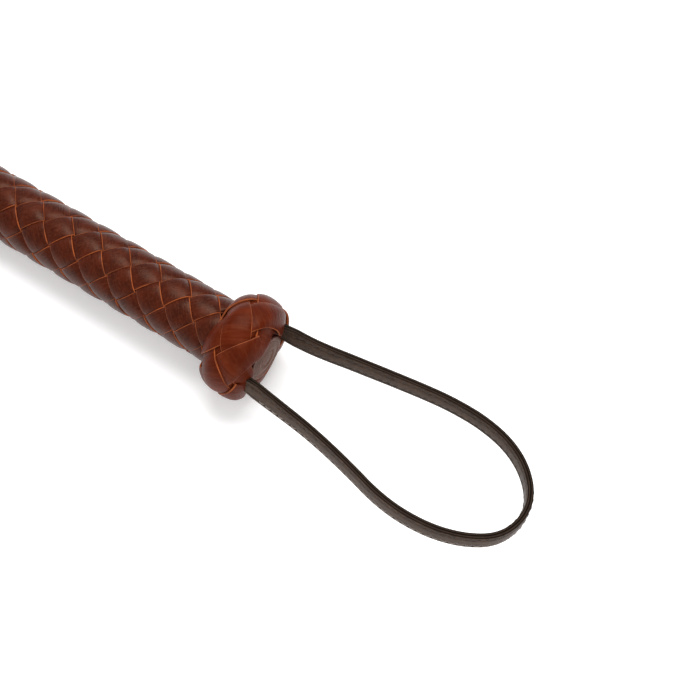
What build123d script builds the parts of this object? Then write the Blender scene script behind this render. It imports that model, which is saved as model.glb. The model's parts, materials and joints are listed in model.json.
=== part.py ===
from build123d import *
from math import asin, cos, degrees, radians, sin, tan
import os

# A riding crop lying on a surface at z = 0, butt towards +X and keeper towards -X, in millimetres.
# It rests on the fat knob at its butt and on its keeper, so its axis slopes gently down to the tip.
# Places along the crop are distances from the knob's centre, positive towards the butt.

# Knob: a plaited ring over a turned core. The outline runs from the handle's rim over the ring
# to the end cap: place along the crop, and radius. The core is the same outline, shrunk about
# the middle of the ring's section.
knob_outline = [
    (-12.6, 15.0),
    (-10.2, 19.4),
    (-4.6, 23.0),
    (1.8, 24.0),
    (8.6, 22.6),
    (11.0, 18.6),
    (12.4, 13.6),
    (12.6, 11.2),
]
knob_section_radius = 10.5
knob_core_share = 0.82
knob_leather_share = 0.83
core_gap = 0.1

# Plaited handle: ten laces over a round core, five wound each way
handle_radius = 14.8
handle_core_radius = 12.8
handle_length = 182.0
handle_socket = 9.5
laces_each_way = 5
lace_pitch = 77.0
lace_cover = 0.84
lace_thickness = 0.85
lace_gap = 0.1

# Front of the handle
front_cone_length = 30.0
front_cone_tip_radius = 4.4
front_cover_thickness = 1.2
front_knot_length = 16.0
front_knot_thickness = 1.6
front_knot_rounding = 1.3
binding_length = 7.0
binding_thickness = 0.4

# Shaft and its tip
rod_radius = 2.2
rod_tip = -556.0
shaft_cover_end = -538.0
shaft_butt_radius = 4.6
shaft_tip_radius = 3.0
keeper_neck_radius = 3.2
tip_binding_radius = 4.0
tip_binding_span = (-541.0, -554.0)
tip_height = 4.1

# Keeper: two leather leaves stitched together, flat on the surface
keeper_length = 86.0
keeper_half_width = 17.0
keeper_neck_half_width = 6.0
keeper_shoulder = (9.0, 28.0)
keeper_corner_radius = 5.0
leaf_thickness = 1.8
leaf_gap = 0.1
keeper_hinge_gap = 2.2
keeper_stitch_inset = 3.0
keeper_stitch_shift = 1.0

# End cap: a leather disc on a backing disc in the mouth of the ring
cap_radius = 11.0
cap_seat = 9.4
backing_radius = 10.6
backing_thickness = 1.4
cap_thickness = 2.5
cap_dome = 0.6
cap_ring_radii = (9.4, 8.5)
cap_groove_depth = 0.3

# Wrist loop: a two-ply strap on edge that swings about a cross axis just outside the knob
strap_height = 8.6
ply_thickness = 1.5
loop_exit = 15.0
loop_pivot = 18.0
loop_droop = 3.0
bend_share = 0.45
tail_depth = 12.0
tail_gap = 0.3
pocket_gap = 0.1
tack_head_room = 0.8
tack_place = 5.0
tack_pin_radius = 0.7
tack_head_radius = 1.9
tack_head_thickness = 0.6
tack_length = 7.0
thread_radius = 0.35
stitch_row_height = 3.35

# The strap's centreline in the loop's plane: along the crop from the pivot, and across it
loop_route = [
    (0, loop_exit),
    (5, loop_exit),
    (28, 19),
    (50, 23.5),
    (71, 27.2),
    (92, 27.2),
    (109, 22),
    (120, 12),
    (124, 3),
    (124, -5),
    (119, -15),
    (107.5, -22.5),
    (91, -27.2),
    (71, -27.2),
    (50, -22),
    (28, -17.6),
    (5, -loop_exit),
    (0, -loop_exit),
]

# Slope of the crop's axis, and the place of the knob that centres the whole crop on x = 0
strap_half = ply_thickness
tail_start = loop_pivot - strap_height / 2 - tail_gap - tail_depth
loop_reach = max(x for x, y in loop_route) + strap_half
slope = degrees(asin((max(radius for place, radius in knob_outline) - tip_height) / -rod_tip))
droop_cos = cos(radians(loop_droop))
droop_sin = sin(radians(loop_droop))
butt_end = loop_pivot * cos(radians(slope)) + loop_reach * droop_cos + strap_height / 2 * droop_sin
keeper_pivot_reach = -rod_tip * cos(radians(slope)) + keeper_hinge_gap
tip_end = keeper_pivot_reach + keeper_length
knob_x = (tip_end - butt_end) / 2
knob_z = max(radius * cos(radians(slope)) - place * sin(radians(slope)) for place, radius in knob_outline)
keeper_pivot_x = knob_x - keeper_pivot_reach
axis_direction = Vector(cos(radians(slope)), 0, sin(radians(slope)))
knob_centre = Vector(knob_x, 0, knob_z)
crop_axis = Axis(knob_centre, axis_direction)

# Profiles that are turned about the axis are drawn here: x along the crop, y out from its axis
profile_plane = Plane(origin=knob_centre, x_dir=axis_direction, z_dir=(0, -1, 0))

# The loop's plane droops from the pivot; its x runs away from the knob and its y across the crop
pivot_point = knob_centre + axis_direction * loop_pivot
loop_plane = Plane(origin=pivot_point, x_dir=(droop_cos, 0, -droop_sin), z_dir=(droop_sin, 0, droop_cos))

# The keeper's plane lies on the surface; its x runs from the hinge to the keeper's end
keeper_plane = Plane(origin=(keeper_pivot_x, 0, 0), x_dir=(-1, 0, 0), z_dir=(0, 0, 1))


def station(place, toward_tip=False):
    """The plane square to the crop's axis at a place along it."""
    direction = axis_direction * (-1 if toward_tip else 1)
    return Plane(origin=knob_centre + axis_direction * place, x_dir=(0, 1, 0), z_dir=direction)


def corner_radii(points):
    """The largest tangent arc that fits each corner of an open route."""
    radii = []
    for before, corner, after in zip(points, points[1:], points[2:]):
        run_in = Vector(*corner) - Vector(*before)
        run_out = Vector(*after) - Vector(*corner)
        half_turn = radians(run_in.get_angle(run_out)) / 2
        radii.append(bend_share * min(run_in.length, run_out.length) / tan(half_turn))
    return radii


def shrunk_outline(share):
    """The knob's outline, shrunk about the middle of the ring's section."""
    middle = knob_section_radius
    return [(place * share, middle + (radius - middle) * share) for place, radius in knob_outline]


def finish(piece, name):
    """Label a finished piece and write it."""
    piece.part.label = name
    export_step(piece.part, f"parts/{name}.step")


os.makedirs("parts", exist_ok=True)

# Shaft rod: one fibreglass rod from inside the knob to the tip
with BuildPart() as shaft_rod:
    with BuildSketch(station(cap_seat - core_gap, toward_tip=True)):
        Circle(rod_radius)
    extrude(amount=cap_seat - core_gap - rod_tip)
finish(shaft_rod, "shaft_rod")

# Knob core: a turned ring on the rod, hollowed for the handle's end and for the strap's two tails
with BuildPart() as knob_core:
    with BuildSketch(profile_plane):
        with BuildLine():
            core_line = Spline(*shrunk_outline(knob_core_share))
            Polyline(core_line @ 0, ((core_line @ 0).X, rod_radius + core_gap),
                     ((core_line @ 1).X, rod_radius + core_gap), core_line @ 1)
        make_face()
        with Locations((-handle_socket, 0)):
            Rectangle(2 * cap_seat, handle_radius + lace_gap, align=(Align.MAX, Align.MIN),
                      mode=Mode.SUBTRACT)
        with Locations((cap_seat, 0)):
            Rectangle(2 * cap_seat, cap_radius + core_gap, align=(Align.MIN, Align.MIN),
                      mode=Mode.SUBTRACT)
    revolve(axis=crop_axis)
    with BuildSketch(station(tail_start - pocket_gap)):
        with GridLocations(2 * (loop_exit + tack_head_room / 2), 1, 2, 1):
            Rectangle(2 * strap_half + 2 * pocket_gap + tack_head_room, strap_height + 2 * pocket_gap)
    extrude(amount=2 * tail_depth, mode=Mode.SUBTRACT)
finish(knob_core, "knob_core")

# Knob lace: the plaited leather ring that covers the core, open at the handle and at the end cap
with BuildPart() as knob_lace:
    with BuildSketch(profile_plane):
        with BuildLine():
            outer_line = Spline(*knob_outline)
            inner_line = Spline(*shrunk_outline(knob_leather_share))
            Line(outer_line @ 0, inner_line @ 0)
            Line(outer_line @ 1, inner_line @ 1)
        make_face()
        Rectangle(4 * cap_seat, handle_radius + lace_gap, align=(Align.MAX, Align.MIN), mode=Mode.SUBTRACT)
        Rectangle(4 * cap_seat, cap_radius + core_gap, align=(Align.MIN, Align.MIN), mode=Mode.SUBTRACT)
    revolve(axis=crop_axis)
    with BuildSketch(station(tail_start - pocket_gap)):
        with GridLocations(2 * loop_exit, 1, 2, 1):
            Rectangle(2 * strap_half + 2 * pocket_gap, strap_height + 2 * pocket_gap)
    extrude(amount=2 * tail_depth, mode=Mode.SUBTRACT)
finish(knob_lace, "knob_lace")

# End cap: a backing disc, and a slightly domed leather disc with a pressed ring
with BuildPart() as end_cap_backing:
    with BuildSketch(station(cap_seat)):
        Circle(backing_radius)
    extrude(amount=backing_thickness)
finish(end_cap_backing, "end_cap_backing")

with BuildPart() as end_cap:
    with BuildSketch(profile_plane):
        with BuildLine():
            cap_bottom = cap_seat + backing_thickness
            rim = (cap_bottom + cap_thickness - cap_dome, cap_radius)
            crown = (cap_bottom + cap_thickness, 0)
            Polyline(crown, (cap_bottom, 0), (cap_bottom, cap_radius), rim)
            TangentArc(crown, rim, tangent=(0, 1))
        make_face()
    revolve(axis=crop_axis)
    with BuildSketch(station(cap_bottom + cap_thickness)):
        Circle(cap_ring_radii[0])
        Circle(cap_ring_radii[1], mode=Mode.SUBTRACT)
    extrude(amount=-cap_dome - cap_groove_depth, mode=Mode.SUBTRACT)
finish(end_cap, "end_cap")

# Handle core: a round grip on the rod that tapers to the shaft in front
handle_front = -handle_length - handle_socket
with BuildPart() as handle_core:
    with BuildSketch(profile_plane):
        with BuildLine():
            Polyline(
                (-handle_socket - core_gap, rod_radius + core_gap),
                (-handle_socket - core_gap, handle_core_radius),
                (handle_front, handle_core_radius),
                (handle_front - front_cone_length, front_cone_tip_radius),
                (handle_front - front_cone_length, rod_radius + core_gap),
                close=True,
            )
        make_face()
    revolve(axis=crop_axis)
finish(handle_core, "handle_core")

# Handle laces: five wound to the right and, over them, five wound to the left
lace_start = station(-handle_socket - core_gap, toward_tip=True)
lace_run = handle_length - core_gap
lace_spacing = 360 / laces_each_way
lace_sweep = lace_spacing * lace_cover
inner_lace_radius = handle_core_radius + lace_gap
outer_lace_radius = handle_radius - lace_thickness
for side, inside_radius, turn in (("right", inner_lace_radius, 1), ("left", outer_lace_radius, -1)):
    for count in range(laces_each_way):
        with BuildSketch(lace_start) as lace_section:
            with BuildLine():
                first_angle = lace_spacing * count
                under = CenterArc((0, 0), inside_radius, first_angle, lace_sweep)
                over = CenterArc((0, 0), inside_radius + lace_thickness, first_angle, lace_sweep)
                Line(under @ 0, over @ 0)
                Line(under @ 1, over @ 1)
            make_face()
        wound_lace = Solid.extrude_linear_with_rotation(
            lace_section.sketch.faces()[0],
            lace_start.origin,
            lace_start.z_dir * lace_run,
            turn * 360 * lace_run / lace_pitch,
        )
        with BuildPart() as handle_lace:
            add(wound_lace)
        finish(handle_lace, f"handle_lace_{side}_{count + 1}")

# Front of the handle: thread binding over the laces' ends, plaited ring over it, leather cone in front
knot_middle = handle_front + front_knot_length / 2
with BuildPart() as handle_binding:
    with BuildSketch(station(knot_middle + binding_length / 2, toward_tip=True)):
        Circle(handle_radius + lace_gap + binding_thickness)
        Circle(handle_radius + lace_gap, mode=Mode.SUBTRACT)
    extrude(amount=binding_length)
finish(handle_binding, "handle_binding")

knot_inner_radius = handle_radius + 2 * lace_gap + binding_thickness
with BuildPart() as front_knot_lace:
    with BuildSketch(profile_plane):
        with Locations((knot_middle, knot_inner_radius)):
            Rectangle(front_knot_length, front_knot_thickness, align=(Align.CENTER, Align.MIN))
    revolve(axis=crop_axis)
    fillet(front_knot_lace.edges().filter_by(GeomType.CIRCLE).group_by(SortBy.RADIUS)[-1],
           radius=front_knot_rounding)
finish(front_knot_lace, "front_knot_lace")

cover_start = handle_front - core_gap
cover_end = handle_front - front_cone_length
cover_slope = (handle_core_radius - front_cone_tip_radius) / front_cone_length
with BuildPart() as front_cover:
    with BuildSketch(profile_plane):
        with BuildLine():
            Polyline(
                (cover_start, handle_core_radius - cover_slope * core_gap + core_gap),
                (cover_start, handle_core_radius + front_cover_thickness),
                (cover_end, front_cone_tip_radius + front_cover_thickness),
                (cover_end, front_cone_tip_radius + core_gap),
                close=True,
            )
        make_face()
    revolve(axis=crop_axis)
finish(front_cover, "front_cover")

# Shaft cover: a long tapered plaited sleeve on the rod
shaft_cover_start = cover_end - core_gap
with BuildPart() as shaft_cover:
    with BuildSketch(profile_plane):
        with BuildLine():
            Polyline(
                (shaft_cover_start, rod_radius + core_gap),
                (shaft_cover_start, shaft_butt_radius),
                (shaft_cover_end, shaft_tip_radius),
                (shaft_cover_end, rod_radius + core_gap),
                close=True,
            )
        make_face()
    revolve(axis=crop_axis)
finish(shaft_cover, "shaft_cover")

# Tip: the keeper's leather neck round the rod, bound with thread
with BuildPart() as keeper_neck:
    with BuildSketch(station(shaft_cover_end - core_gap, toward_tip=True)):
        Circle(keeper_neck_radius)
        Circle(rod_radius + core_gap, mode=Mode.SUBTRACT)
    extrude(amount=shaft_cover_end - core_gap - rod_tip)
finish(keeper_neck, "keeper_neck")

with BuildPart() as tip_binding:
    with BuildSketch(station(tip_binding_span[0], toward_tip=True)):
        Circle(tip_binding_radius)
        Circle(keeper_neck_radius + core_gap, mode=Mode.SUBTRACT)
    extrude(amount=tip_binding_span[0] - tip_binding_span[1])
finish(tip_binding, "tip_binding")

# Keeper leaves: a narrow neck, shoulders and a broad tongue, one leaf on the other
upper_leaf_height = leaf_thickness + leaf_gap
for name, height in (("keeper_lower_leaf", 0), ("keeper_upper_leaf", upper_leaf_height)):
    with BuildPart() as keeper_leaf:
        with BuildSketch(keeper_plane.offset(height)):
            with BuildLine():
                Polyline(
                    (0, keeper_neck_half_width),
                    (keeper_shoulder[0], keeper_neck_half_width),
                    (keeper_shoulder[1], keeper_half_width),
                    (keeper_length, keeper_half_width),
                    (keeper_length, -keeper_half_width),
                    (keeper_shoulder[1], -keeper_half_width),
                    (keeper_shoulder[0], -keeper_neck_half_width),
                    (0, -keeper_neck_half_width),
                    close=True,
                )
            make_face()
        extrude(amount=leaf_thickness)
        fillet(keeper_leaf.edges().filter_by(Axis.Z).group_by(Axis.X)[0], radius=keeper_corner_radius)
    finish(keeper_leaf, name)

# Keeper stitching: a row of thread let into the upper leaf along its edge
keeper_stitch_route = [
    (keeper_shoulder[0], keeper_neck_half_width - keeper_stitch_inset),
    (keeper_shoulder[1] + keeper_stitch_shift, keeper_half_width - keeper_stitch_inset),
    (keeper_length - keeper_stitch_inset, keeper_half_width - keeper_stitch_inset),
    (keeper_length - keeper_stitch_inset, keeper_stitch_inset - keeper_half_width),
    (keeper_shoulder[1] + keeper_stitch_shift, keeper_stitch_inset - keeper_half_width),
    (keeper_shoulder[0], keeper_stitch_inset - keeper_neck_half_width),
]
with BuildPart() as keeper_stitching:
    with BuildLine(keeper_plane.offset(upper_leaf_height + leaf_thickness)) as stitch_path:
        FilletPolyline(*keeper_stitch_route, radius=keeper_stitch_inset)
    with BuildSketch(Plane(stitch_path.line @ 0, z_dir=stitch_path.line % 0)):
        Circle(thread_radius)
    sweep()
finish(keeper_stitching, "keeper_stitching")

# Wrist loop: both plies follow one route, and round ends sit on the pivot
loop_radii = corner_radii(loop_route)
print("strap bend radii, mm:", [round(radius, 1) for radius in loop_radii])
for name, side in (("loop_outer_ply", 1), ("loop_inner_ply", -1)):
    with BuildPart() as loop_ply:
        with BuildLine(loop_plane) as strap_path:
            FilletPolyline(*loop_route, radius=loop_radii)
        with BuildSketch(Plane(strap_path.line @ 0, x_dir=(0, 1, 0), z_dir=strap_path.line % 0)):
            with Locations((side * ply_thickness / 2, 0)):
                Rectangle(ply_thickness, strap_height)
        sweep()
        for leg in (1, -1):
            leg_plane = Plane(pivot_point + Vector(0, leg * (loop_exit + side * ply_thickness), 0),
                              z_dir=(0, -leg * side, 0))
            with BuildSketch(leg_plane):
                Circle(strap_height / 2)
            extrude(amount=ply_thickness)
    finish(loop_ply, name)

# Loop stitching: two rows of thread on each face of the strap
with BuildPart() as loop_stitching:
    with BuildLine(loop_plane) as thread_path:
        FilletPolyline(*loop_route, radius=loop_radii)
    with BuildSketch(Plane(thread_path.line @ 0, x_dir=(0, 1, 0), z_dir=thread_path.line % 0)):
        with GridLocations(2 * ply_thickness, 2 * stitch_row_height, 2, 2):
            Circle(thread_radius)
    sweep()
finish(loop_stitching, "loop_stitching")

# Loop tails: the strap's two ends, let into the knob core and held by a tack each
for name, leg in (("loop_tail_left", 1), ("loop_tail_right", -1)):
    with BuildPart() as loop_tail:
        with BuildSketch(station(tail_start)):
            with Locations((leg * loop_exit, 0)):
                Rectangle(2 * strap_half, strap_height)
        extrude(amount=tail_depth)
    finish(loop_tail, name)

with BuildPart() as loop_tacks:
    for leg in (1, -1):
        tack_seat = knob_centre + axis_direction * tack_place + Vector(0, leg * (loop_exit + strap_half), 0)
        with BuildSketch(Plane(tack_seat, z_dir=(0, leg, 0))):
            Circle(tack_head_radius)
        extrude(amount=tack_head_thickness)
        with BuildSketch(Plane(tack_seat, z_dir=(0, -leg, 0))):
            Circle(tack_pin_radius)
        extrude(amount=tack_length)
finish(loop_tacks, "loop_tacks")
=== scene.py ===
import json
from math import asin, atan2, cos, pi, radians, sin, sqrt, tanh

import bmesh
import bpy
import numpy as np
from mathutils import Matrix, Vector


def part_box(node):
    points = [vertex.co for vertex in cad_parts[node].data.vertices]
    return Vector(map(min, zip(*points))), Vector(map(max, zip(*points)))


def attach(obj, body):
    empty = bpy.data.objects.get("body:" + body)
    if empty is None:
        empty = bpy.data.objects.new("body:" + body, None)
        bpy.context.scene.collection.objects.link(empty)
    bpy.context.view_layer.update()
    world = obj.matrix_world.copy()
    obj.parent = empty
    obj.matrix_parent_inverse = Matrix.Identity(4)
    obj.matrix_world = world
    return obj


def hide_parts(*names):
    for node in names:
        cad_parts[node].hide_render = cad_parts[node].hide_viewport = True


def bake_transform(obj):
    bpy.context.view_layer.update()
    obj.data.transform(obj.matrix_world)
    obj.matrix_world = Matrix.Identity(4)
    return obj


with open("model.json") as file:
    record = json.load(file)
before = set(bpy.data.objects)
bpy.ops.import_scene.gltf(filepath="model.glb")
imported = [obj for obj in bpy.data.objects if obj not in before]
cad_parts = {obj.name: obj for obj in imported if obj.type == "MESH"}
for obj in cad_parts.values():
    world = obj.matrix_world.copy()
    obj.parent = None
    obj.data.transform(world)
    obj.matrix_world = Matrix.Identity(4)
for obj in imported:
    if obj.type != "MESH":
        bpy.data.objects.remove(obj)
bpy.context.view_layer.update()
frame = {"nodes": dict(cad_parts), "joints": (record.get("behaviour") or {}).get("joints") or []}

# Lengths along and out of the crop are in millimetres, and points are in metres.
# Places along the crop are counted from the knob's centre, positive towards the butt.
MM = 0.001

# ---------------------------------------- the crop's own axis, from the frame
joints = {joint["name"]: joint for joint in frame["joints"]}
loop_pivot = np.array(joints["loop_swing"]["pos_m"])
keeper_pivot = np.array(joints["keeper_flex"]["pos_m"])
rod_low, rod_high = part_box("shaft_rod")
rod_radius = (rod_high.y - rod_low.y) / 2
slope = atan2(rod_high.z - rod_low.z - 2 * rod_radius, rod_high.x - rod_low.x)
along = np.array((cos(slope), 0, sin(slope)))
upward = np.array((-sin(slope), 0, cos(slope)))
sideways = np.array((0.0, 1.0, 0.0))
# The loop's pivot is this far towards the butt from the knob's centre.
pivot_place = 18.0
knob_centre = loop_pivot - pivot_place * MM * along

# ---------------------------------------- sizes
# Where the handle's laces end: under the front knot, and inside the knob.
handle_ends = (-187.0, -7.6)
# The knob's outer outline as (place, radius) points, from the handle's side to the end cap.
knob_outline = [
    (-12.6, 15.0),
    (-10.2, 19.4),
    (-4.6, 23.0),
    (1.8, 24.0),
    (8.6, 22.6),
    (11.0, 18.6),
    (12.4, 13.6),
    (12.6, 11.2),
]


def crop_points(place, angle, radius):
    """Points at places along the crop, angles from straight up towards +Y, and radii."""
    place, angle, radius = np.broadcast_arrays(place, angle, radius)
    outward = np.cos(angle)[..., None] * upward + np.sin(angle)[..., None] * sideways
    return knob_centre + MM * (place[..., None] * along + radius[..., None] * outward)


def run_along(points):
    """Distances from the first point to each point along a line."""
    steps = np.linalg.norm(np.diff(points, axis=0), axis=1)
    return np.concatenate([[0], np.cumsum(steps)])


# ---------------------------------------- mesh building
def add_mesh(name, points, faces, materials, face_slots=None, corner_uvs=None):
    """A smooth-shaded mesh object with outward faces."""
    mesh = bpy.data.meshes.new(name)
    mesh.from_pydata([tuple(point) for point in points], [], faces)
    for material in materials:
        mesh.materials.append(material)
    if face_slots is not None:
        mesh.polygons.foreach_set("material_index", face_slots)
    if corner_uvs is not None:
        layer = mesh.uv_layers.new(name="UVMap")
        layer.data.foreach_set("uv", np.asarray(corner_uvs, np.float32).ravel())
    shaper = bmesh.new()
    shaper.from_mesh(mesh)
    bmesh.ops.recalc_face_normals(shaper, faces=shaper.faces)
    shaper.to_mesh(mesh)
    shaper.free()
    mesh.shade_smooth()
    piece = bpy.data.objects.new(name, mesh)
    bpy.context.scene.collection.objects.link(piece)
    return piece


def sweep_data(rings, closed, side_slots, run, across):
    """Faces, face slots and corner UVs of rings of points swept along a path."""
    count, around = rings.shape[:2]
    spans = count if closed else count - 1
    faces, slots, uvs = [], [], []
    for i in range(spans):
        below, above = i * around, (i + 1) % count * around
        for j in range(around):
            k = (j + 1) % around
            faces.append((below + j, below + k, above + k, above + j))
            slots.append(side_slots[j])
            uvs += [(run[i], across[j]), (run[i], across[j + 1])]
            uvs += [(run[i + 1], across[j + 1]), (run[i + 1], across[j])]
    if not closed:
        for end in (0, count - 1):
            faces.append(tuple(end * around + j for j in range(around)))
            slots.append(side_slots[0])
            uvs += [(run[end], across[j]) for j in range(around)]
    return faces, slots, uvs


def add_sweep(name, rings, materials, closed=False, side_slots=None, run_start=0.0):
    """A solid swept from rings of points, with UVs in metres along and across it."""
    middles = rings.mean(axis=1)
    run = run_start + run_along(np.vstack([middles, middles[:1]]))
    across = run_along(np.vstack([rings[0], rings[0][:1]]))
    if side_slots is None:
        side_slots = [0] * rings.shape[1]
    faces, slots, uvs = sweep_data(rings, closed, side_slots, run, across)
    return add_mesh(name, rings.reshape(-1, 3), faces, materials, slots, uvs)


def add_lathe(name, profile, materials, segments, side_slots=None):
    """A solid turned about the crop's axis from a closed profile of (place, radius) points."""
    places, radii = np.array(profile).T
    angles = np.linspace(0, 2 * pi, segments, endpoint=False)
    rings = crop_points(places[None, :], angles[:, None], radii[None, :])
    across = MM * run_along(np.array(profile + profile[:1]))
    run = MM * radii.max() * np.linspace(0, 2 * pi, segments + 1)
    if side_slots is None:
        side_slots = [0] * len(profile)
    faces, slots, uvs = sweep_data(rings, True, side_slots, run, across)
    return add_mesh(name, rings.reshape(-1, 3), faces, materials, slots, uvs)


def join_pieces(pieces, name):
    """Several meshes as one object."""
    bpy.ops.object.select_all(action="DESELECT")
    for piece in pieces:
        piece.select_set(True)
    bpy.context.view_layer.objects.active = pieces[0]
    bpy.ops.object.join()
    pieces[0].name = name
    pieces[0].data.name = name
    return pieces[0]


# ---------------------------------------- lace sections
def lace_section(thickness, crown, bevel, top_points):
    """Half-width shares, edge insets and heights round a flat lace, and which sides are cut edges.

    Each point is (share of the half width, inset from the edge, height above the lace's middle).
    """
    top = thickness / 2
    section = []
    for share in np.linspace(1, -1, top_points):
        section.append((share, bevel * abs(share), top + crown * (1 - share ** 2)))
    # An edge from the top down, with its upper corner rounded and its lower one bevelled.
    edge = [
        (bevel * 0.3, top - bevel * 0.3),
        (0.0, top - bevel),
        (0.0, bevel - top),
        (bevel * 0.6, 0.2 * bevel - top),
    ]
    section += [(-1, inset, height) for inset, height in edge]
    section.append((0, 0, -top))
    section += [(1, inset, height) for inset, height in reversed(edge)]
    # The three sides between the top and the lower bevel are cut ones, at each edge of the lace.
    cut_sides = []
    for index in range(len(section)):
        on_first_edge = top_points - 2 < index < top_points + 2
        on_second_edge = index > len(section) - 4
        cut_sides.append(int(on_first_edge or on_second_edge))
    return section, cut_sides


def weave_height(phase, squareness):
    """A rounded square wave between -1 and 1, with its top where the phase is a multiple of two pi."""
    return np.tanh(squareness * np.cos(phase)) / tanh(squareness)


# Handmade unevenness. A plait's laces wander by a share of their width and by a share of their
# spacing, over lengths in millimetres. A ring's lace wanders by a share of its width, over half trips.
width_wander, width_wander_length = 0.025, 31.0
path_wander, path_wander_length = 0.03, 47.0
ring_wander, ring_wander_length = 0.02, 3.0


def wander(seed, positions, length):
    """Slow, smooth unevenness between about -1 and 1."""
    chance = np.random.default_rng(seed)
    total = np.zeros_like(positions, dtype=float)
    highest_total = 1.7
    for octave in (1.0, 2.3, 4.1):
        total += np.sin(2 * pi * positions / length * octave + chance.uniform(0, 2 * pi)) / octave
    return total / highest_total


# ---------------------------------------- materials
class Shader:
    """A Principled material and short ways of adding nodes to it."""

    def __init__(self, name, roughness, specular=0.5, sheen=0.0, tint=(1, 1, 1)):
        self.material = bpy.data.materials.new(name)
        self.material.use_nodes = True
        self.tree = self.material.node_tree
        self.surface = self.tree.nodes["Principled BSDF"]
        self.surface.inputs["Roughness"].default_value = roughness
        self.surface.inputs["Specular IOR Level"].default_value = specular
        self.surface.inputs["Specular Tint"].default_value = (*tint, 1)
        self.surface.inputs["Sheen Weight"].default_value = sheen

    def node(self, kind, **inputs):
        made = self.tree.nodes.new(kind)
        for name, value in inputs.items():
            self.feed(made.inputs[name.replace("_", " ")], value)
        return made

    def feed(self, socket, value):
        if isinstance(value, bpy.types.NodeSocket):
            self.tree.links.new(value, socket)
        else:
            socket.default_value = value

    def coordinates(self, scale=(1, 1, 1), use_uv=True):
        """Surface coordinates in millimetres, stretched by scale."""
        source = self.node("ShaderNodeTexCoord").outputs["UV" if use_uv else "Object"]
        mapping = self.node("ShaderNodeMapping", Vector=source)
        mapping.inputs["Scale"].default_value = [1000 * part for part in scale]
        return mapping.outputs["Vector"]

    def noise(self, vector, scale, detail=3.0, roughness=0.55):
        return self.node("ShaderNodeTexNoise", Vector=vector, Scale=scale, Detail=detail,
                         Roughness=roughness).outputs["Fac"]

    def cells(self, vector, scale):
        return self.node("ShaderNodeTexVoronoi", Vector=vector, Scale=scale).outputs["Distance"]

    def ramp(self, value, low, high, start=0.0, end=1.0):
        """value between low and high, mapped to start..end and clamped."""
        made = self.node("ShaderNodeMapRange", Value=value)
        for name, number in (("From Min", low), ("From Max", high), ("To Min", start), ("To Max", end)):
            made.inputs[name].default_value = number
        return made.outputs["Result"]

    def mix(self, factor, first, second):
        """A colour between two; a colour mix has its colours at inputs 6 and 7 and output 2."""
        made = self.tree.nodes.new("ShaderNodeMix")
        made.data_type = "RGBA"
        self.feed(made.inputs[0], factor)
        self.feed(made.inputs[6], first if isinstance(first, bpy.types.NodeSocket) else (*first, 1))
        self.feed(made.inputs[7], second if isinstance(second, bpy.types.NodeSocket) else (*second, 1))
        return made.outputs[2]

    def math(self, operation, first, second):
        made = self.tree.nodes.new("ShaderNodeMath")
        made.operation = operation
        self.feed(made.inputs[0], first)
        self.feed(made.inputs[1], second)
        return made.outputs[0]

    def bump(self, heights, distance):
        """Bump from a sum of (height socket, weight) pairs; distance in metres."""
        total = None
        for height, weight in heights:
            part = self.math("MULTIPLY", height, weight)
            total = part if total is None else self.math("ADD", total, part)
        made = self.node("ShaderNodeBump", Height=total)
        made.inputs["Strength"].default_value = 1.0
        made.inputs["Distance"].default_value = distance
        self.tree.links.new(made.outputs["Normal"], self.surface.inputs["Normal"])

    def finish(self, color, roughness=None):
        self.feed(self.surface.inputs["Base Color"], color)
        if roughness is not None:
            self.feed(self.surface.inputs["Roughness"], roughness)
        return self.material


# Waxed leather shines in a warm colour.
warm_shine = (1.0, 0.68, 0.50)


def leather(name, deep, base, worn, roughness=0.42, grain=2.2, streak=0.5, use_uv=True, depth=0.00009,
            specular=0.13):
    """Smooth waxed leather: cloudy dye, fine streaks along the lace, pores and a soft shine.

    grain is the number of pores to the millimetre, streak is how much the worn colour shows in the
    streaks, and depth is the depth of the bump in metres.
    """
    shader = Shader(name, roughness, specular=specular, tint=warm_shine)
    flat = shader.coordinates(use_uv=use_uv)
    fibres = shader.coordinates((0.14, 1.6, 1.0), use_uv=use_uv)
    clouds = shader.noise(flat, 0.16, 4.0)
    mottle = shader.noise(flat, 0.9, 3.0)
    streaks = shader.noise(fibres, 1.0, 5.0, 0.7)
    pores = shader.cells(flat, grain)
    color = shader.mix(shader.ramp(clouds, 0.32, 0.68), deep, base)
    color = shader.mix(shader.ramp(mottle, 0.45, 0.8, 0.0, 0.35), color, worn)
    color = shader.mix(shader.ramp(streaks, 0.5, 0.82, 0.0, streak), color, worn)
    rough = shader.math("ADD", shader.ramp(clouds, 0.3, 0.7, roughness - 0.06, roughness + 0.06),
                        shader.ramp(streaks, 0.4, 0.8, -0.05, 0.09))
    shader.bump([(pores, 0.35), (streaks, 0.9), (mottle, 0.5)], depth)
    return shader.finish(color, rough)


def raw_edge(name, dark, bright):
    """The cut side of a lace: undyed fibres, brighter and darker along its length."""
    shader = Shader(name, 0.75, specular=0.3)
    flat = shader.coordinates()
    fibres = shader.coordinates((0.5, 3.0, 1.0))
    patches = shader.noise(flat, 0.12, 3.0, 0.6)
    fuzz = shader.noise(fibres, 1.4, 4.0, 0.7)
    color = shader.mix(shader.ramp(patches, 0.34, 0.58), dark, bright)
    color = shader.mix(shader.ramp(fuzz, 0.4, 0.75, 0.0, 0.45), color, dark)
    shader.bump([(fuzz, 1.0)], 0.00012)
    return shader.finish(color)


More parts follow.
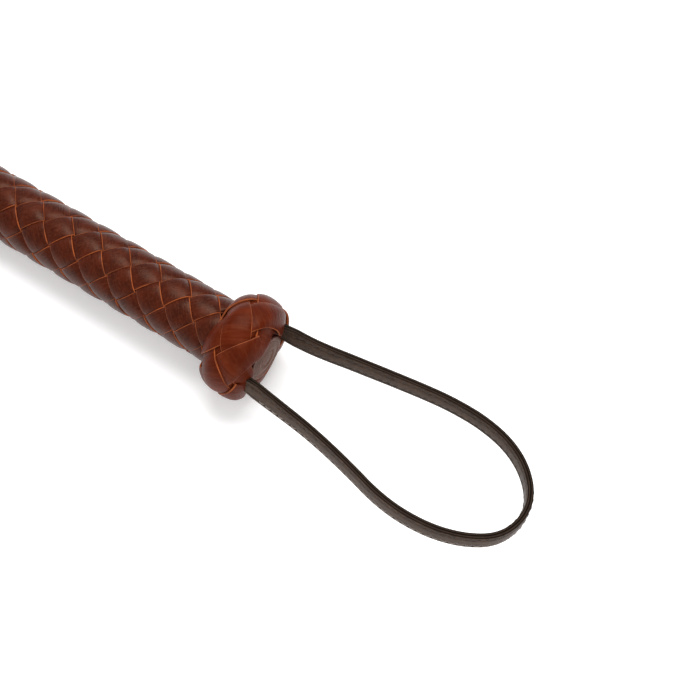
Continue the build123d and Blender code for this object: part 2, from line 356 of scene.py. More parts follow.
def thread_material(name, dark, light, use_uv=True):
    """Waxed twisted thread."""
    shader = Shader(name, 0.6, specular=0.35, sheen=0.15)
    flat = shader.coordinates(use_uv=use_uv)
    twist = shader.node("ShaderNodeTexWave", Vector=flat, Scale=0.9, Distortion=0.6)
    twist.wave_type = "BANDS"
    twist.bands_direction = "DIAGONAL"
    fuzz = shader.noise(flat, 3.0, 3.0)
    color = shader.mix(shader.ramp(twist.outputs["Fac"], 0.2, 0.8), dark, light)
    shader.bump([(twist.outputs["Fac"], 0.7), (fuzz, 0.4)], 0.00008)
    return shader.finish(color)


handle_leather = leather(
    "handle_leather", (0.026, 0.0025, 0.0006), (0.056, 0.0062, 0.0013), (0.125, 0.033, 0.015),
    roughness=0.33, specular=0.16)
knob_leather = leather(
    "knob_leather", (0.048, 0.0045, 0.0007), (0.092, 0.0105, 0.0013), (0.155, 0.035, 0.014),
    grain=1.7, depth=0.00020, specular=0.09)
# The end cap face's greyish colour is partly the leather's tone and partly a painted sheen; the dark-red
# side wall has no sheen painted in.
cap_leather = leather(
    "cap_leather", (0.080, 0.037, 0.027), (0.140, 0.070, 0.052), (0.220, 0.135, 0.105),
    roughness=0.50, streak=0.3, specular=0.07)
cap_side_leather = leather(
    "cap_side_leather", (0.022, 0.0045, 0.0030), (0.045, 0.0090, 0.0055), (0.090, 0.020, 0.014),
    roughness=0.5)
core_leather = leather(
    "core_leather", (0.012, 0.004, 0.003), (0.028, 0.008, 0.005), (0.050, 0.015, 0.010),
    roughness=0.7, use_uv=False)
strap_leather = leather(
    "strap_leather", (0.024, 0.0142, 0.0095), (0.058, 0.0355, 0.0245), (0.120, 0.084, 0.065),
    grain=3.0)
strap_edge = leather(
    "strap_edge", (0.013, 0.0080, 0.0056), (0.028, 0.0180, 0.0128), (0.055, 0.039, 0.030),
    roughness=0.60, grain=3.0, specular=0.12)
# Near-black painted shade for the strap's rounded edge corners and the groove between its plies.
strap_painted_corner_shade = leather(
    "strap_painted_corner_shade", (0.0040, 0.0027, 0.0020), (0.0075, 0.0050, 0.0038), (0.015, 0.010, 0.008),
    roughness=0.70, grain=3.0, specular=0.05)
shaft_leather = leather(
    "shaft_leather", (0.024, 0.0024, 0.0006), (0.052, 0.0060, 0.0013), (0.115, 0.032, 0.016),
    roughness=0.34)
keeper_leather = leather(
    "keeper_leather", (0.028, 0.0030, 0.0008), (0.058, 0.0070, 0.0016), (0.120, 0.034, 0.018),
    roughness=0.40)
handle_edge = raw_edge("handle_cut_edge", (0.105, 0.0210, 0.0055), (0.350, 0.078, 0.0140))
knob_edge = raw_edge("knob_cut_edge", (0.120, 0.024, 0.006), (0.330, 0.074, 0.013))
keeper_edge = raw_edge("keeper_cut_edge", (0.045, 0.0105, 0.0040), (0.150, 0.036, 0.009))
strap_thread = thread_material("strap_thread", (0.014, 0.0090, 0.0065), (0.055, 0.038, 0.029))
# Pale thread as painted highlight: its light colour stands in for the shine on the lower stitch row of the
# strap's outer face.
strap_thread_painted_highlight = thread_material("strap_thread_painted_highlight", (0.120, 0.092, 0.076), (0.400, 0.330, 0.290))
binding_thread = thread_material(
    "binding_thread", (0.010, 0.006, 0.005), (0.045, 0.026, 0.019), use_uv=False)


# ---------------------------------------- round plaits on the handle and the shaft
class Plait:
    """A round plait of laces wound both ways, each over one and under one.

    laces is how many are wound each way, and pitch is the length of crop from one to the next.
    crest gives the plait's radius at a place. Its grid of crossings has one number along each of the
    two families of laces, and turn_angle gives the angle of a row of crossings at a place.
    """

    def __init__(self, laces, ends, pitch, origin, turn_angle, crest, relief, thickness, crown, bevel,
                 width_share, squareness, step, top_points):
        self.laces, self.ends, self.pitch, self.origin = laces, ends, pitch, origin
        self.turn_angle, self.crest, self.relief = turn_angle, crest, relief
        self.thickness, self.crown, self.bevel = thickness, crown, bevel
        self.width_share, self.squareness = width_share, squareness
        self.step, self.top_points = step, top_points

    def middle(self, place):
        """Radius halfway between the laces on top and the laces beneath."""
        return self.crest(place) - self.relief - self.thickness / 2 - self.crown

    def lace(self, name, turns_up, number, materials, seed):
        """One lace: turns_up laces gain angle towards the butt, and the others lose it."""
        section, cut_sides = lace_section(self.thickness, self.crown, self.bevel, self.top_points)
        shares, insets, heights = (np.array(values)[None, :] for values in zip(*section))
        sign = 1 if turns_up else -1
        first, last = (number + sign * 2 * (place - self.origin) / self.pitch for place in self.ends)
        wound_length_share = 1.6
        length = (self.ends[1] - self.ends[0]) * wound_length_share
        trip = np.linspace(first, last, int(length / self.step))
        centre_place = self.origin + sign * self.pitch / 2 * (trip - number)
        circumference = 2 * pi * self.middle(centre_place)
        spacing = self.pitch * np.sin(np.arctan2(circumference / self.laces, self.pitch))
        unevenness = width_wander * wander(seed, centre_place, width_wander_length)
        half_width = spacing * self.width_share / 2 * (1 + unevenness)
        sway = path_wander * wander(seed + 50, centre_place, path_wander_length)
        side = (shares * half_width[:, None] - np.sign(shares) * insets) / spacing[:, None] + sway[:, None]
        runs = trip[:, None]
        up_number, down_number = (number + side, runs) if turns_up else (runs, number + side)
        place = self.origin + self.pitch / 2 * (down_number - up_number)
        angle = self.turn_angle(place) + pi / self.laces * (up_number + down_number)
        wave = sign * weave_height(pi * (trip + number), self.squareness)[:, None]
        radius = self.middle(place) + self.relief * wave + heights
        return add_sweep(name, crop_points(place, angle, radius), materials, side_slots=cut_sides,
                         run_start=0.4 * seed)


handle_plait = Plait(
    laces=5, ends=handle_ends, pitch=15.45, origin=-18.7,
    turn_angle=lambda place: radians(0.3) + radians(0.17) * (place + 60),
    crest=lambda place: 15.15 + 0.002 * (place + 10),
    relief=0.78, thickness=0.95, crown=0.32, bevel=0.26, width_share=0.955, squareness=1.8, step=1.0,
    top_points=9)


def handle_laces():
    """Ten laces, five wound each way."""
    for turns_up, side_name in ((False, "right"), (True, "left")):
        for number in range(handle_plait.laces):
            seed = number + handle_plait.laces * turns_up
            piece = handle_plait.lace(f"handle_plait_{side_name}_{number + 1}", turns_up, number,
                                      (handle_leather, handle_edge), seed)
            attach(piece, "crop")
            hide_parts(f"handle_lace_{side_name}_{number + 1}")


def handle_core():
    """The padded core that shows only in the small gaps between laces."""
    butt, cone_start, cone_end = -9.8, -191.4, -221.3
    core_radius, cone_end_radius, bore = 12.15, 4.3, 2.3
    profile = [(butt, bore), (butt, core_radius), (cone_start, core_radius),
               (cone_end, cone_end_radius), (cone_end, bore)]
    piece = add_lathe("handle_grip_core", profile, (core_leather,), segments=48)
    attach(piece, "crop")
    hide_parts("handle_core")


handle_laces()
handle_core()


# ---------------------------------------- Turk's head rings
class RingSurface:
    """The surface of a ring round the crop, measured along its outline from the handle's side."""

    def __init__(self, outline, samples=60):
        points = np.array(outline, float)
        padded = np.vstack([2 * points[0] - points[1], points, 2 * points[-1] - points[-2]])
        line = []
        for p0, p1, p2, p3 in zip(padded, padded[1:], padded[2:], padded[3:]):
            t = np.linspace(0, 1, samples, endpoint=False)[:, None]
            line.append(0.5 * (2 * p1 + (p2 - p0) * t + (2 * p0 - 5 * p1 + 4 * p2 - p3) * t ** 2
                               + (3 * p1 - p0 - 3 * p2 + p3) * t ** 3))
        line = np.vstack([*line, points[-1:]])
        self.run = run_along(line)
        self.place, self.radius = line[:, 0], line[:, 1]
        self.length = self.run[-1]
        slope_place = np.gradient(self.place, self.run)
        slope_radius = np.gradient(self.radius, self.run)
        self.normal = np.stack([-slope_radius, slope_place], axis=1)

    def at(self, run, height):
        """Places and radii at a run along the outline, lifted off it by height."""
        place = np.interp(run, self.run, self.place)
        radius = np.interp(run, self.run, self.radius)
        normal_place = np.interp(run, self.run, self.normal[:, 0])
        normal_radius = np.interp(run, self.run, self.normal[:, 1])
        return place + height * normal_place, radius + height * normal_radius


def turks_head(name, surface, leads, bights, swing, middle, first_angle, widths, relief, thickness, crown,
               bevel, squareness, step, materials, seed, corner=0.98, width_power=0.7, top_points=9,
               stretch=(0.0, 0.0), shift=lambda run, angle: 0):
    """A ring plaited from one endless lace, over one and under one.

    The lace goes round the crop once for each lead and swings across the ring once for each bight.
    It rises on even half trips and falls on odd ones, with a width for each. corner is close to 1 for
    sharp turns at the ring's edges and lower for round ones. width_power narrows the lace where the
    ring is narrow. stretch spreads the swing on the handle's side and on the butt's side. shift moves
    points towards the butt by their run along the outline and their angle.
    """
    section, cut_sides = lace_section(thickness, crown, bevel, top_points)
    shares, insets, heights = (np.array(values)[None, :] for values in zip(*section))
    half_trips = 2 * bights
    widest = surface.radius.max()
    column_angle = pi / bights
    column_run = swing * corner / asin(corner) * pi / leads
    total = half_trips * sqrt((column_angle * leads * widest) ** 2 + (2 * swing) ** 2)
    trip = np.linspace(0, half_trips, int(total / step), endpoint=False)
    reach = swing * np.arcsin(corner * np.sin(pi * (trip - 0.5))) / asin(corner)
    spread = 1 + np.where(reach < 0, stretch[0], stretch[1]) * np.tanh(np.abs(reach) / column_run)
    run = middle + reach * spread
    angle = first_angle + trip * column_angle * leads
    run_slope = np.gradient(run, trip)
    radius = np.interp(run, surface.run, surface.radius)
    turn_slope = column_angle * leads * radius
    speed = np.hypot(run_slope, turn_slope)
    turn_softness = 0.4
    rising = (1 + run_slope / (np.abs(run_slope) + turn_softness * column_run * leads)) / 2
    width = widths[1] + (widths[0] - widths[1]) * rising
    unevenness = ring_wander * wander(seed, trip, ring_wander_length)
    half_width = width / 2 * (radius / widest) ** width_power * (1 + unevenness)
    side = shares * half_width[:, None] - np.sign(shares) * insets
    side_run = run[:, None] + side * (turn_slope / speed)[:, None]
    side_angle = angle[:, None] - side * (run_slope / speed)[:, None] / radius[:, None]
    slant = np.clip(run_slope / (column_run * leads), -1, 1)[:, None]
    crossing = (trip[:, None] % 1) * leads + (side_angle - angle[:, None]) / (2 * column_angle) \
        + slant * (side_run - run[:, None]) / (2 * column_run * spread[:, None])
    turned_over = np.where((np.floor(trip) % 2 == 1) & (leads % 2 == 0), -1, 1)[:, None]
    last = leads - 1
    last_sign = 1 if leads % 2 == 0 else -1
    wave = np.where(crossing < 1, np.sin(pi * crossing / 2),
                    np.where(crossing > last, last_sign * np.cos(pi * (crossing - last) / 2),
                             np.cos(pi * (crossing - 1))))
    wave = turned_over * np.tanh(squareness * wave) / tanh(squareness)
    # The lace is held back within the margin at each end of the outline, and never passes the end.
    margin, give = 0.6, 0.4
    overshoot = np.clip(side_run - (surface.length - margin), 0, None)
    undershoot = np.clip(margin - side_run, 0, None)
    side_run = side_run - overshoot + give * np.tanh(overshoot)
    side_run = side_run + undershoot - give * np.tanh(undershoot)
    place, out = surface.at(side_run, relief * (wave - 1) - thickness / 2 - crown + heights)
    place = place + shift(side_run, side_angle)
    return add_sweep(name, crop_points(place, side_angle, out), materials, closed=True, side_slots=cut_sides,
                     run_start=0.7 * seed)


knob_surface = RingSurface(knob_outline)
knob_middle = 16.75


def knob_shift(run, angle):
    """The ring's upper side moves towards the butt, clear of the handle and over the end cap.

    Its lower side draws back a little from the end cap.
    """
    tuck_depth, tuck_angle = 3.0, radians(-5)
    lap_depth, lap_angle, lap_power, lap_below = 3.6, radians(-20), 0.6, 0.4
    back = np.clip(1 - run / knob_middle, 0, 1)
    front = np.clip((run - knob_middle) / (knob_surface.length - knob_middle), 0, 1)
    tuck = tuck_depth * back * (1 + np.cos(angle - tuck_angle)) / 2
    lap = front * (lap_depth * ((1 + np.cos(angle - lap_angle)) / 2) ** lap_power - lap_below)
    return tuck + lap


def knob_plait():
    """The knob's four-lead, five-bight ring."""
    piece = turks_head(
        "knob_plait", knob_surface, leads=4, bights=5, swing=13.9, middle=knob_middle,
        first_angle=radians(-3.4), widths=(13.6, 12.9), relief=0.62, thickness=1.0, crown=0.30,
        bevel=0.26, squareness=1.6, step=0.8, materials=(knob_leather, knob_edge), seed=21,
        stretch=(0.8, 0.2), shift=knob_shift)
    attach(piece, "crop")
    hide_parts("knob_lace")


def knob_core():
    """The core under the knob's plait, seen only in the gaps between laces."""
    middle, length_share, waist, depth_share = 1.8, 0.80, 10.5, 0.885
    outline = [(middle + place * length_share, waist + (radius - waist) * depth_share)
               for place, radius in knob_outline]
    surface = RingSurface(outline, samples=8)
    ring = list(zip(surface.place.tolist(), surface.radius.tolist()))
    back, back_radius, front, front_radius, bore = -7.4, 14.1, 9.3, 11.0, 2.4
    profile = [(back, back_radius), *ring, (front, front_radius), (front, bore), (back, bore)]
    piece = add_lathe("knob_padded_core", profile, (knob_leather,), segments=72)
    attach(piece, "crop")
    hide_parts("knob_core")


knob_plait()
knob_core()


# ---------------------------------------- end cap
def end_cap_piece():
    """A slightly domed leather disc with a rounded rim, pressed rings and a raised middle."""
    bottom, rim_top, crown_top, radius, centre = 10.85, 12.9, 13.35, 11.0, 0.02
    # Each ring is (radius, height, width), and a pressed one has a height below zero.
    rings = ((8.7, -0.26, 0.38), (7.7, -0.14, 0.5), (5.4, 0.20, 0.75), (4.1, -0.24, 0.5))
    boss_height, boss_radius = 0.16, 1.9
    rim = [(bottom, centre), (bottom, radius - 0.3), (bottom + 0.2, radius), (rim_top - 0.45, radius),
           (rim_top - 0.1, radius - 0.15), (rim_top, radius - 0.5)]
    face = []
    for r in np.linspace(radius - 0.8, centre, 60):
        dome = crown_top - (crown_top - rim_top) * (r / radius) ** 2
        for middle, height, width in rings:
            dome += height * np.exp(-((r - middle) / width) ** 2)
        face.append((dome + boss_height * np.exp(-(r / boss_radius) ** 4), r))
    side_slots = [1] * (len(rim) - 1) + [0] * len(face) + [1]
    piece = add_lathe("end_cap_disc", rim + face, (cap_leather, cap_side_leather), segments=144,
                      side_slots=side_slots)
    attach(piece, "crop")
    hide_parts("end_cap")


end_cap_piece()


# ---------------------------------------- wrist loop
loop_droop = radians(3.0)
loop_forward = np.array((cos(loop_droop), 0, -sin(loop_droop)))
loop_upward = np.array((sin(loop_droop), 0, cos(loop_droop)))
strap_height = 8.6
ply_thickness = 1.5
loop_exit = 15.0
tail_start = -9.0
tail_inset = 0.7
# The strap's centreline: (reach from the pivot, place across the crop).
loop_route = [
    (tail_start, loop_exit - tail_inset),
    (0, loop_exit),
    (11, 16.0),
    (29, 19.5),
    (50, 23.5),
    (71, 27.0),
    (92, 27.2),
    (109, 22.2),
    (121, 11.5),
    (124.5, -1),
    (120, -14),
    (107.5, -22.3),
    (91, -27),
    (71, -27.2),
    (50, -21.8),
    (29, -17.8),
    (11, -16.2),
    (0, -loop_exit),
    (tail_start, tail_inset - loop_exit),
]
# The stitch rows' distance from the strap's middle.
stitch_row = 2.7
# The strap leans by strap_lean, and by knob_lean more at the pivot, which fades over lean_fade. It
# stands upright at lean_start, inside the knob.
strap_lean = radians(9)
knob_lean = radians(11)
lean_start = -16.0
lean_fade = 22.0


def strap_line(spacing):
    """Points, tangents and runs along the strap's centreline, evenly spaced.

    The line passes through the middles of the route's inner stretches and rounds its corners.
    """
    route = np.array(loop_route, float)
    middles = (route[:-1] + route[1:]) / 2
    line = []
    knots = [route[0], *middles[1:-1], route[-1]]
    for before, corner, after in zip(knots, route[1:-1], knots[1:]):
        t = np.linspace(0, 1, 60, endpoint=False)[:, None]
        line.append((1 - t) ** 2 * before + 2 * t * (1 - t) * corner + t ** 2 * after)
    line = np.vstack([*line, route[-1:]])
    run = run_along(line)
    even = np.arange(0, run[-1], spacing)
    points = np.stack([np.interp(even, run, line[:, axis]) for axis in (0, 1)], axis=1)
    tangents = np.gradient(points, axis=0)
    tangents /= np.linalg.norm(tangents, axis=1)[:, None]
    return points, tangents, even


def strap_points(points, tangents, outward, height):
    """Points in metres beside the strap's centreline: outward from the loop, and up from its middle.

    Both legs lean with their tops towards +Y, most where they leave the knob.
    """
    outward, height = np.broadcast_arrays(outward, height)
    normal = np.stack([-tangents[:, 1], tangents[:, 0]], axis=1)
    near_knob = np.exp(-np.clip(points[:, 0], 0, None) / lean_fade)
    lean = (strap_lean + knob_lean * near_knob) * normal[:, 1]
    lean = (lean * np.clip(1 - points[:, 0] / lean_start, 0, 1))[:, None]
    outward, height = (outward * np.cos(lean) + height * np.sin(lean),
                       height * np.cos(lean) - outward * np.sin(lean))
    flat = points[:, None, :] + outward[..., None] * normal[:, None, :]
    lifted = height[..., None] * loop_upward
    return loop_pivot + MM * (flat[..., :1] * loop_forward + flat[..., 1:] * sideways + lifted)


def bend_with_loop(piece):
    """The piece's transform is baked into its mesh."""
    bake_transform(piece)


def strap_ply(name, side, nodes):
    """One ply of the strap: rounded edges, and a shallow groove for each row of stitches."""
    points, tangents, run = strap_line(1.5)
    half = strap_height / 2
    inner, outer = 0.02, ply_thickness
    groove_floor = outer - 0.22
    groove = [(outer, stitch_row - 0.55), (groove_floor, stitch_row - 0.2), (groove_floor, stitch_row + 0.2),
              (outer - 0.03, stitch_row + 0.5)]
    rounding = [(outer - 0.22, half - 0.16), (outer - 0.62, half), (0.35, half + 0.02), (inner, half - 0.1)]
    upper = [(outer + 0.06, 0.0), (outer + 0.03, 1.0), *groove, *rounding]
    lower = [(out, -height) for out, height in reversed(upper[1:])]
    section = upper + lower
    sides = side * np.array([out for out, height in section])
    heights = np.array([height for out, height in section])
    # The flat of the cut edge is slot 1. Its rounded corners, which also form the groove between the plies,
    # and the hidden face are slot 2, a near-black painted shade.
    nearer = np.minimum(np.abs(heights), np.abs(np.roll(heights, -1)))
    on_edge = nearer > half - 0.2
    painted_shade_sides = on_edge & (nearer < half - 0.01)
    slots = (on_edge.astype(int) + painted_shade_sides).tolist()
    # Both plies rise and fall together, over lengths of about 60 mm.
    unevenness = 0.10 * wander(7, run, 60.0)[:, None]
    rings = strap_points(points, tangents, sides[None, :], heights[None, :] + unevenness)
    piece = add_sweep(name, rings, (strap_leather, strap_edge, strap_painted_corner_shade), side_slots=slots,
                      run_start=3.0 + side)
    bend_with_loop(piece)
    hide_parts(*nodes)


def interpolate(where, run, values):
    """Rows of three numbers known at run, found at where."""
    return np.stack([np.interp(where, run, values[:, axis]) for axis in range(3)], axis=1)


def stitch_rows(name, rows, pitch, length, radius, materials):
    """Single stitches along rows in metres: thin and sunk at both ends, and a little aslant.

    A row is (points, normals, number of its material).
    """
    samples, around = 7, 6
    sink, slant = 1.3, 0.35
    share = np.linspace(0, 1, samples)
    arch = np.sqrt(np.sin(pi * np.clip(share, 0.02, 0.98)))
    turn = np.linspace(0, 2 * pi, around, endpoint=False)
    all_points, all_faces, all_slots, all_uvs = [], [], [], []
    for points, normals, slot in rows:
        run = run_along(points) / MM
        for start in np.arange(0.5 * pitch, run[-1] - length, pitch):
            where = start + share * length
            centre = interpolate(where, run, points)
            normal = interpolate(where, run, normals)
            heading = np.gradient(centre, axis=0)
            across = np.cross(heading, normal)
            across /= np.linalg.norm(across, axis=1)[:, None]
            thick = radius * (0.5 + 0.5 * arch)[:, None]
            lift = radius * (sink * arch - sink)[:, None] + thick * np.cos(turn)
            slip = slant * radius * (1 - 2 * share)[:, None] + thick * np.sin(turn)
            rings = centre[:, None, :] + MM * lift[..., None] * normal[:, None, :]
            rings = rings + MM * slip[..., None] * across[:, None, :]
            base = len(all_points) * samples * around
            girth = MM * radius * np.append(turn, 2 * pi)
            faces, slots, uvs = sweep_data(rings, False, [slot] * around, MM * where, girth)
            all_points.append(rings.reshape(-1, 3))
            all_faces += [tuple(base + index for index in face) for face in faces]
            all_slots += slots
            all_uvs += uvs
    return add_mesh(name, np.vstack(all_points), all_faces, materials, all_slots, all_uvs)


def strap_stitches():
    """Two rows of stitches on each face of the strap, lying in its grooves.

    The lower row on the outer face is in a pale thread, a painted highlight that stands in for the shine
    those stitches catch.
    """
    points, tangents = strap_line(0.7)[:2]
    inside_knob, seat_depth = 12, 0.10
    points, tangents = points[inside_knob:-inside_knob], tangents[inside_knob:-inside_knob]
    normal = (-tangents[:, 1:] * loop_forward + tangents[:, :1] * sideways)
    rows = []
    for face_side in (1, -1):
        for height in (stitch_row, -stitch_row):
            outward = np.array([face_side * (ply_thickness - seat_depth)])
            seat = strap_points(points, tangents, outward, np.array([height]))
            # Slot 1, the pale thread with the painted highlight, goes only on the outer face's lower row.
            rows.append((seat[:, 0], face_side * normal, int(face_side == 1 and height < 0)))
    piece = stitch_rows("strap_stitches", rows, pitch=3.5, length=3.0, radius=0.32,
                        materials=(strap_thread, strap_thread_painted_highlight))
    bend_with_loop(piece)
    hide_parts("loop_stitching")


strap_ply("strap_outer_ply", 1, ("loop_outer_ply", "loop_tail_left"))
strap_ply("strap_inner_ply", -1, ("loop_inner_ply", "loop_tail_right"))
strap_stitches()


# ---------------------------------------- front of the handle and the shaft
def front_knot():
    """A small five-lead plaited ring over the laces' bound ends."""
    outline = [(-191.7, 15.3), (-189.8, 16.4), (-183.6, 16.9), (-177.4, 16.4), (-175.5, 15.3)]
    piece = turks_head(
        "front_knot_plait", RingSurface(outline), leads=5, bights=9, swing=5.9, middle=8.4, first_angle=0.3,
        widths=(4.7, 4.7), relief=0.30, thickness=0.70, crown=0.15, bevel=0.16, squareness=1.5, step=0.5,
        materials=(knob_leather, knob_edge), seed=33, corner=0.93, width_power=0.0, top_points=5)
    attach(piece, "crop")
    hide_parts("front_knot_lace")


def front_cover():
    """A leather cone, skived thin at its tip, with a lip that reaches under the front knot."""
    lip, cone_start, tip = -187.4, -191.7, -221.4
    start_radius, inner_radius, cone_length, fall, swell = 13.95, 12.3, 29.8, 8.5, 0.03
    profile = [(lip, inner_radius), (lip, 14.6), (-190.6, 14.7), (-191.9, 14.2)]
    for share in np.linspace(0.06, 0.96, 16):
        narrowing = fall * (share - swell * sin(2 * pi * share))
        profile.append((cone_start - cone_length * share, start_radius - narrowing))
    profile += [(tip, 5.1), (tip, 4.5), (cone_start, inner_radius)]
    piece = add_lathe("front_leather_cone", profile, (shaft_leather,), segments=72)
    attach(piece, "crop")
    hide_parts("front_cover")


def shaft_plait():
    """Eight fine laces plaited round the rod, tapering to the tip."""
    butt, tip = -221.7, -538.0
    butt_radius, taper, bore = 4.6, 1.6, 2.3
    plait = Plait(
        laces=4, ends=(tip, butt), pitch=13.5, origin=butt, turn_angle=lambda place: 0.2,
        crest=lambda place: butt_radius + taper * (place - butt) / (butt - tip), relief=0.22,
        thickness=0.42, crown=0.10, bevel=0.10, width_share=0.95, squareness=1.5, step=1.3, top_points=5)
    laces = []
    for turns_up in (False, True):
        for number in range(plait.laces):
            seed = 60 + number + plait.laces * turns_up
            laces.append(plait.lace(f"shaft_lace_{turns_up}_{number}", turns_up, number,
                                    (shaft_leather, handle_edge), seed))
    lining = [(butt, bore), (butt, 3.5), (tip, 2.35), (tip, bore)]
    laces.append(add_lathe("shaft_lining", lining, (core_leather,), segments=24))
    piece = join_pieces(laces, "shaft_plait")
    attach(piece, "crop")
    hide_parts("shaft_cover")


def tip_binding():
    """A close coil of waxed thread over the keeper's neck."""
    start, end, coil_radius, thread, unevenness = -541.2, -553.8, 3.58, 0.36, 0.03
    turns = (start - end) / (2 * thread)
    steps_a_turn, around = 20, 6
    share = np.linspace(0, 1, int(turns * steps_a_turn))[:, None]
    circle = np.linspace(0, 2 * pi, around, endpoint=False)[None, :]
    place = start + (end - start) * share + thread * np.sin(circle)
    radius = coil_radius + unevenness * np.sin(9 * pi * share) + thread * np.cos(circle)
    rings = crop_points(place, 2 * pi * turns * share, radius)
    piece = add_sweep("tip_thread_coil", rings, (binding_thread,))
    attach(piece, "crop")
    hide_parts("tip_binding")


front_knot()
front_cover()
shaft_plait()
tip_binding()


# ---------------------------------------- keeper
keeper_length, keeper_half_width, neck_half_width = 86.0, 17.0, 6.0
leaf_thickness, leaf_gap = 1.8, 0.1
# Distances from the hinge where the keeper starts to widen and where it is full width.
shoulder = (9.0, 28.0)
tip_corner = 5.0


def keeper_width(reach):
    """Half width of the keeper at a distance from its hinge."""
    swell = np.clip((reach - shoulder[0]) / (shoulder[1] - shoulder[0]), 0, 1)
    width = neck_half_width + (keeper_half_width - neck_half_width) * swell ** 2 * (3 - 2 * swell)
    into_corner = np.clip(reach - (keeper_length - tip_corner), 0, tip_corner)
    return width - tip_corner + np.sqrt(tip_corner ** 2 - into_corner ** 2)


def keeper_points(reach, across, height):
    """Points in metres on the keeper: away from its hinge, across it, and up from the floor."""
    reach, across, height = np.broadcast_arrays(reach, across, height)
    return np.stack([keeper_pivot[0] - MM * reach, MM * across, MM * height], axis=-1)


def keeper_leaf(name, bottom, node):
    """A leather leaf with rounded edges, lying flat."""
    reach = np.concatenate([np.linspace(0, keeper_length - tip_corner, 44),
                            keeper_length - tip_corner * (1 - np.sin(np.linspace(0.1, 0.48, 8) * pi))])
    half = keeper_width(reach)[:, None]
    top = leaf_thickness
    rounding = [(0.45, 0.0), (0.1, 0.3), (0.0, 0.8), (0.08, top - 0.5), (0.5, top)]
    shares = np.linspace(1, -1, 15)[1:-1]
    inset = [part[0] for part in rounding] + [0] * len(shares) + [part[0] for part in reversed(rounding)]
    share = [1] * len(rounding) + list(shares) + [-1] * len(rounding)
    height = [part[1] for part in rounding] + [top + 0.02] * len(shares)
    height += [part[1] for part in reversed(rounding)]
    share, inset, height = (np.array(values)[None, :] for values in (share, inset, height))
    across = share * half - np.sign(share) * inset * (np.abs(share) == 1)
    rings = keeper_points(reach[:, None], across, bottom + height)
    sides = len(height[0])
    edge_sides = len(rounding) - 1
    slots = [int(index < edge_sides or sides - 2 - edge_sides < index < sides - 1) for index in range(sides)]
    piece = add_sweep(name, rings, (keeper_leather, keeper_edge), side_slots=slots)
    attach(piece, "keeper")
    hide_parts(node)


def keeper_neck():
    """The keeper's leather neck: round over the rod's end, flattening onto the leaves."""
    rod_end = crop_points(np.array(-541.0), np.array(0.0), np.array(0.0))
    far_reach, straight_length, rod_wrap_radius = 16.0, 31, 3.15
    flat_half_width, flat_half_height, roundness_lost = neck_half_width - 0.3, leaf_thickness + 0.28, 0.45
    flat_from, flat_over, end_from, end_thinning = 0.42, 0.45, 0.85, 0.55
    rings = []
    turn = np.linspace(0, 2 * pi, 32, endpoint=False)
    far_end = keeper_points(np.array(far_reach), np.array(0.0), np.array(leaf_thickness + leaf_gap / 2))
    for share in np.linspace(0, 1, 30):
        flat = np.clip((share - flat_from) / flat_over, 0, 1)
        flat = flat ** 2 * (3 - 2 * flat)
        leaf_centre = rod_end + (far_end - rod_end) * share
        axis_centre = rod_end - along * MM * straight_length * share
        centre = leaf_centre * flat + axis_centre * (1 - flat)
        wide = rod_wrap_radius + (flat_half_width - rod_wrap_radius) * flat
        tall = rod_wrap_radius + (flat_half_height - rod_wrap_radius) * flat
        tall = tall - end_thinning * np.clip((share - end_from) / (1 - end_from), 0, 1)
        power = 1 - roundness_lost * flat
        across = np.sign(np.cos(turn)) * np.abs(np.cos(turn)) ** power * wide
        up = np.sign(np.sin(turn)) * np.abs(np.sin(turn)) ** power * tall
        rings.append(centre + MM * (across[:, None] * sideways + up[:, None] * upward))
    piece = add_sweep("keeper_neck_wrap", np.array(rings), (keeper_leather,))
    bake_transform(piece)
    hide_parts("keeper_neck")


def keeper_stitches():
    """One row of stitches on the top leaf, a little in from its edge."""
    inset, row_start = 3.0, shoulder[0] + 8
    reach = np.linspace(row_start, keeper_length - inset, 60)
    half = np.minimum(keeper_width(reach) - inset, keeper_half_width - inset)
    side = np.stack([reach, half], axis=1)
    end = np.stack([np.full(30, keeper_length - inset), np.linspace(half[-1], -half[-1], 30)], axis=1)
    line = np.vstack([side, end[1:-1], side[::-1] * (1, -1)])
    seat_depth = 0.05
    seat = 2 * leaf_thickness + leaf_gap - seat_depth
    points = keeper_points(line[:, 0], line[:, 1], np.array(seat))
    normals = np.tile(np.array((0.0, 0.0, 1.0)), (len(points), 1))
    piece = stitch_rows("keeper_stitches", [(points, normals, 0)], pitch=3.2, length=2.6, radius=0.3,
                        materials=(strap_thread,))
    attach(piece, "keeper")
    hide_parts("keeper_stitching")


keeper_leaf("keeper_bottom_leaf", 0.0, "keeper_lower_leaf")
keeper_leaf("keeper_top_leaf", leaf_thickness + leaf_gap, "keeper_upper_leaf")
keeper_neck()
keeper_stitches()


# ---------------------------------------- CAD nodes that stay
def fibreglass():
    """Dark fibreglass with strands along the rod."""
    shader = Shader("fibreglass_rod", 0.35)
    strands = shader.noise(shader.coordinates((0.05, 1.0, 1.0), use_uv=False), 1.2, 4.0)
    shader.bump([(strands, 1.0)], 0.00005)
    color = shader.mix(shader.ramp(strands, 0.35, 0.7), (0.010, 0.010, 0.011), (0.035, 0.034, 0.033))
    return shader.finish(color)


def scuffed_brass():
    """Brass with duller and darker scuffs."""
    shader = Shader("tack_brass", 0.28)
    shader.surface.inputs["Metallic"].default_value = 1.0
    scuffs = shader.noise(shader.coordinates(use_uv=False), 1.5, 4.0)
    shader.bump([(scuffs, 1.0)], 0.00003)
    color = shader.mix(shader.ramp(scuffs, 0.4, 0.7), (0.52, 0.34, 0.11), (0.72, 0.52, 0.22))
    return shader.finish(color, shader.ramp(scuffs, 0.3, 0.7, 0.22, 0.42))


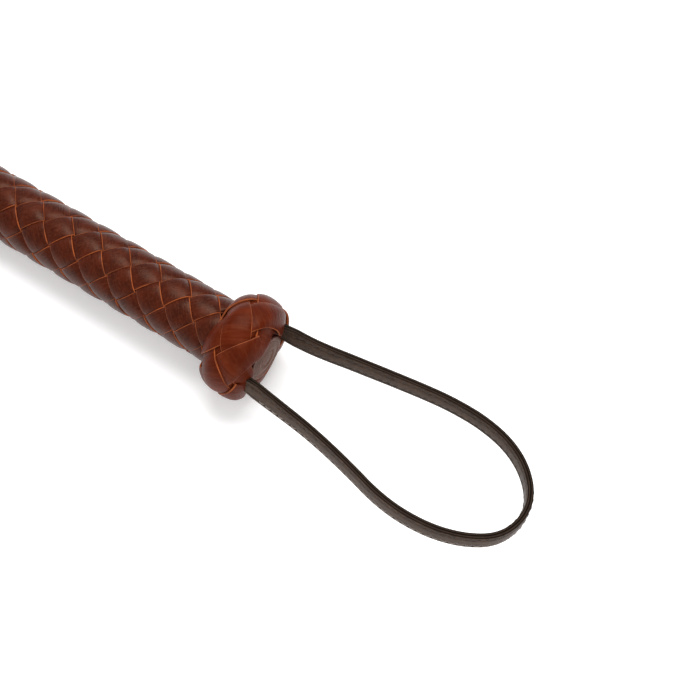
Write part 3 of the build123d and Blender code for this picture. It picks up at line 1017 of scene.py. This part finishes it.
def finish_cad_nodes():
    """The CAD pieces whose shapes are already right get their real materials."""
    choices = {"shaft_rod": fibreglass(), "loop_tacks": scuffed_brass(), "end_cap_backing": core_leather,
               "handle_binding": binding_thread}
    for name, material in choices.items():
        mesh = frame["nodes"][name].data
        mesh.materials.clear()
        mesh.materials.append(material)


finish_cad_nodes()


# ---------------------------------------- camera, floor and light
def add_camera():
    """A camera high over the butt's side, aimed at a point beside the knob."""
    azimuth, elevation = radians(33.3), radians(64.0)
    distance, aim_along, aim_right, aim_above = 0.713, 0.0015, 0.04554, -0.0018
    toward = Vector((sin(azimuth) * cos(elevation), -cos(azimuth) * cos(elevation), sin(elevation)))
    right = Vector((cos(azimuth), sin(azimuth), 0))
    above = toward.cross(right)
    aim = Vector(knob_centre + aim_along * along) + aim_right * right + aim_above * above
    camera = bpy.data.cameras.new("camera")
    camera.lens = 85
    camera.clip_start = 0.01
    holder = bpy.data.objects.new("camera", camera)
    holder.location = aim + distance * toward
    holder.rotation_euler = toward.to_track_quat("Z", "Y").to_euler()
    bpy.context.scene.collection.objects.link(holder)
    bpy.context.scene.camera = holder


def add_world():
    """Even white light from all round."""
    world = bpy.data.worlds.new("studio")
    world.use_nodes = True
    background = world.node_tree.nodes["Background"]
    background.inputs["Color"].default_value = (1, 1, 1, 1)
    background.inputs["Strength"].default_value = 0.72
    bpy.context.scene.world = world


def add_lamp(name, place, size, power):
    """A square area lamp that points at the knob; size in metres and power in watts."""
    lamp = bpy.data.lights.new(name, "AREA")
    lamp.size = size
    lamp.energy = power
    light = bpy.data.objects.new(name, lamp)
    light.location = place
    target_height = 0.02
    target = Vector((knob_centre[0], 0, target_height))
    light.rotation_euler = (Vector(place) - target).to_track_quat("Z", "Y").to_euler()
    bpy.context.scene.collection.objects.link(light)


def floor():
    """A plain pale floor that gives off a little light of its own, which keeps shadows pale."""
    shader = Shader("pale_floor", 0.65, specular=0.2)
    tint = shader.noise(shader.coordinates(use_uv=False), 0.004, 2.0)
    color = shader.mix(shader.ramp(tint, 0.3, 0.7), (0.90, 0.90, 0.90), (0.93, 0.93, 0.93))
    shader.surface.inputs["Emission Color"].default_value = (1, 1, 1, 1)
    shader.surface.inputs["Emission Strength"].default_value = 0.22
    material = shader.finish(color)
    reach, level = 3.0, -0.0002
    corners = [(x * reach, y * reach, level) for x, y in ((-1, -1), (1, -1), (1, 1), (-1, 1))]
    piece = add_mesh("floor", corners, [(0, 1, 2, 3)], (material,))


add_camera()
add_world()
add_lamp("key", (0.10, 0.38, 1.20), 0.80, 15.0)
add_lamp("fill", (0.9, -0.6, 0.9), 0.8, 2.5)
floor()
bpy.context.scene.view_settings.view_transform = "Standard"
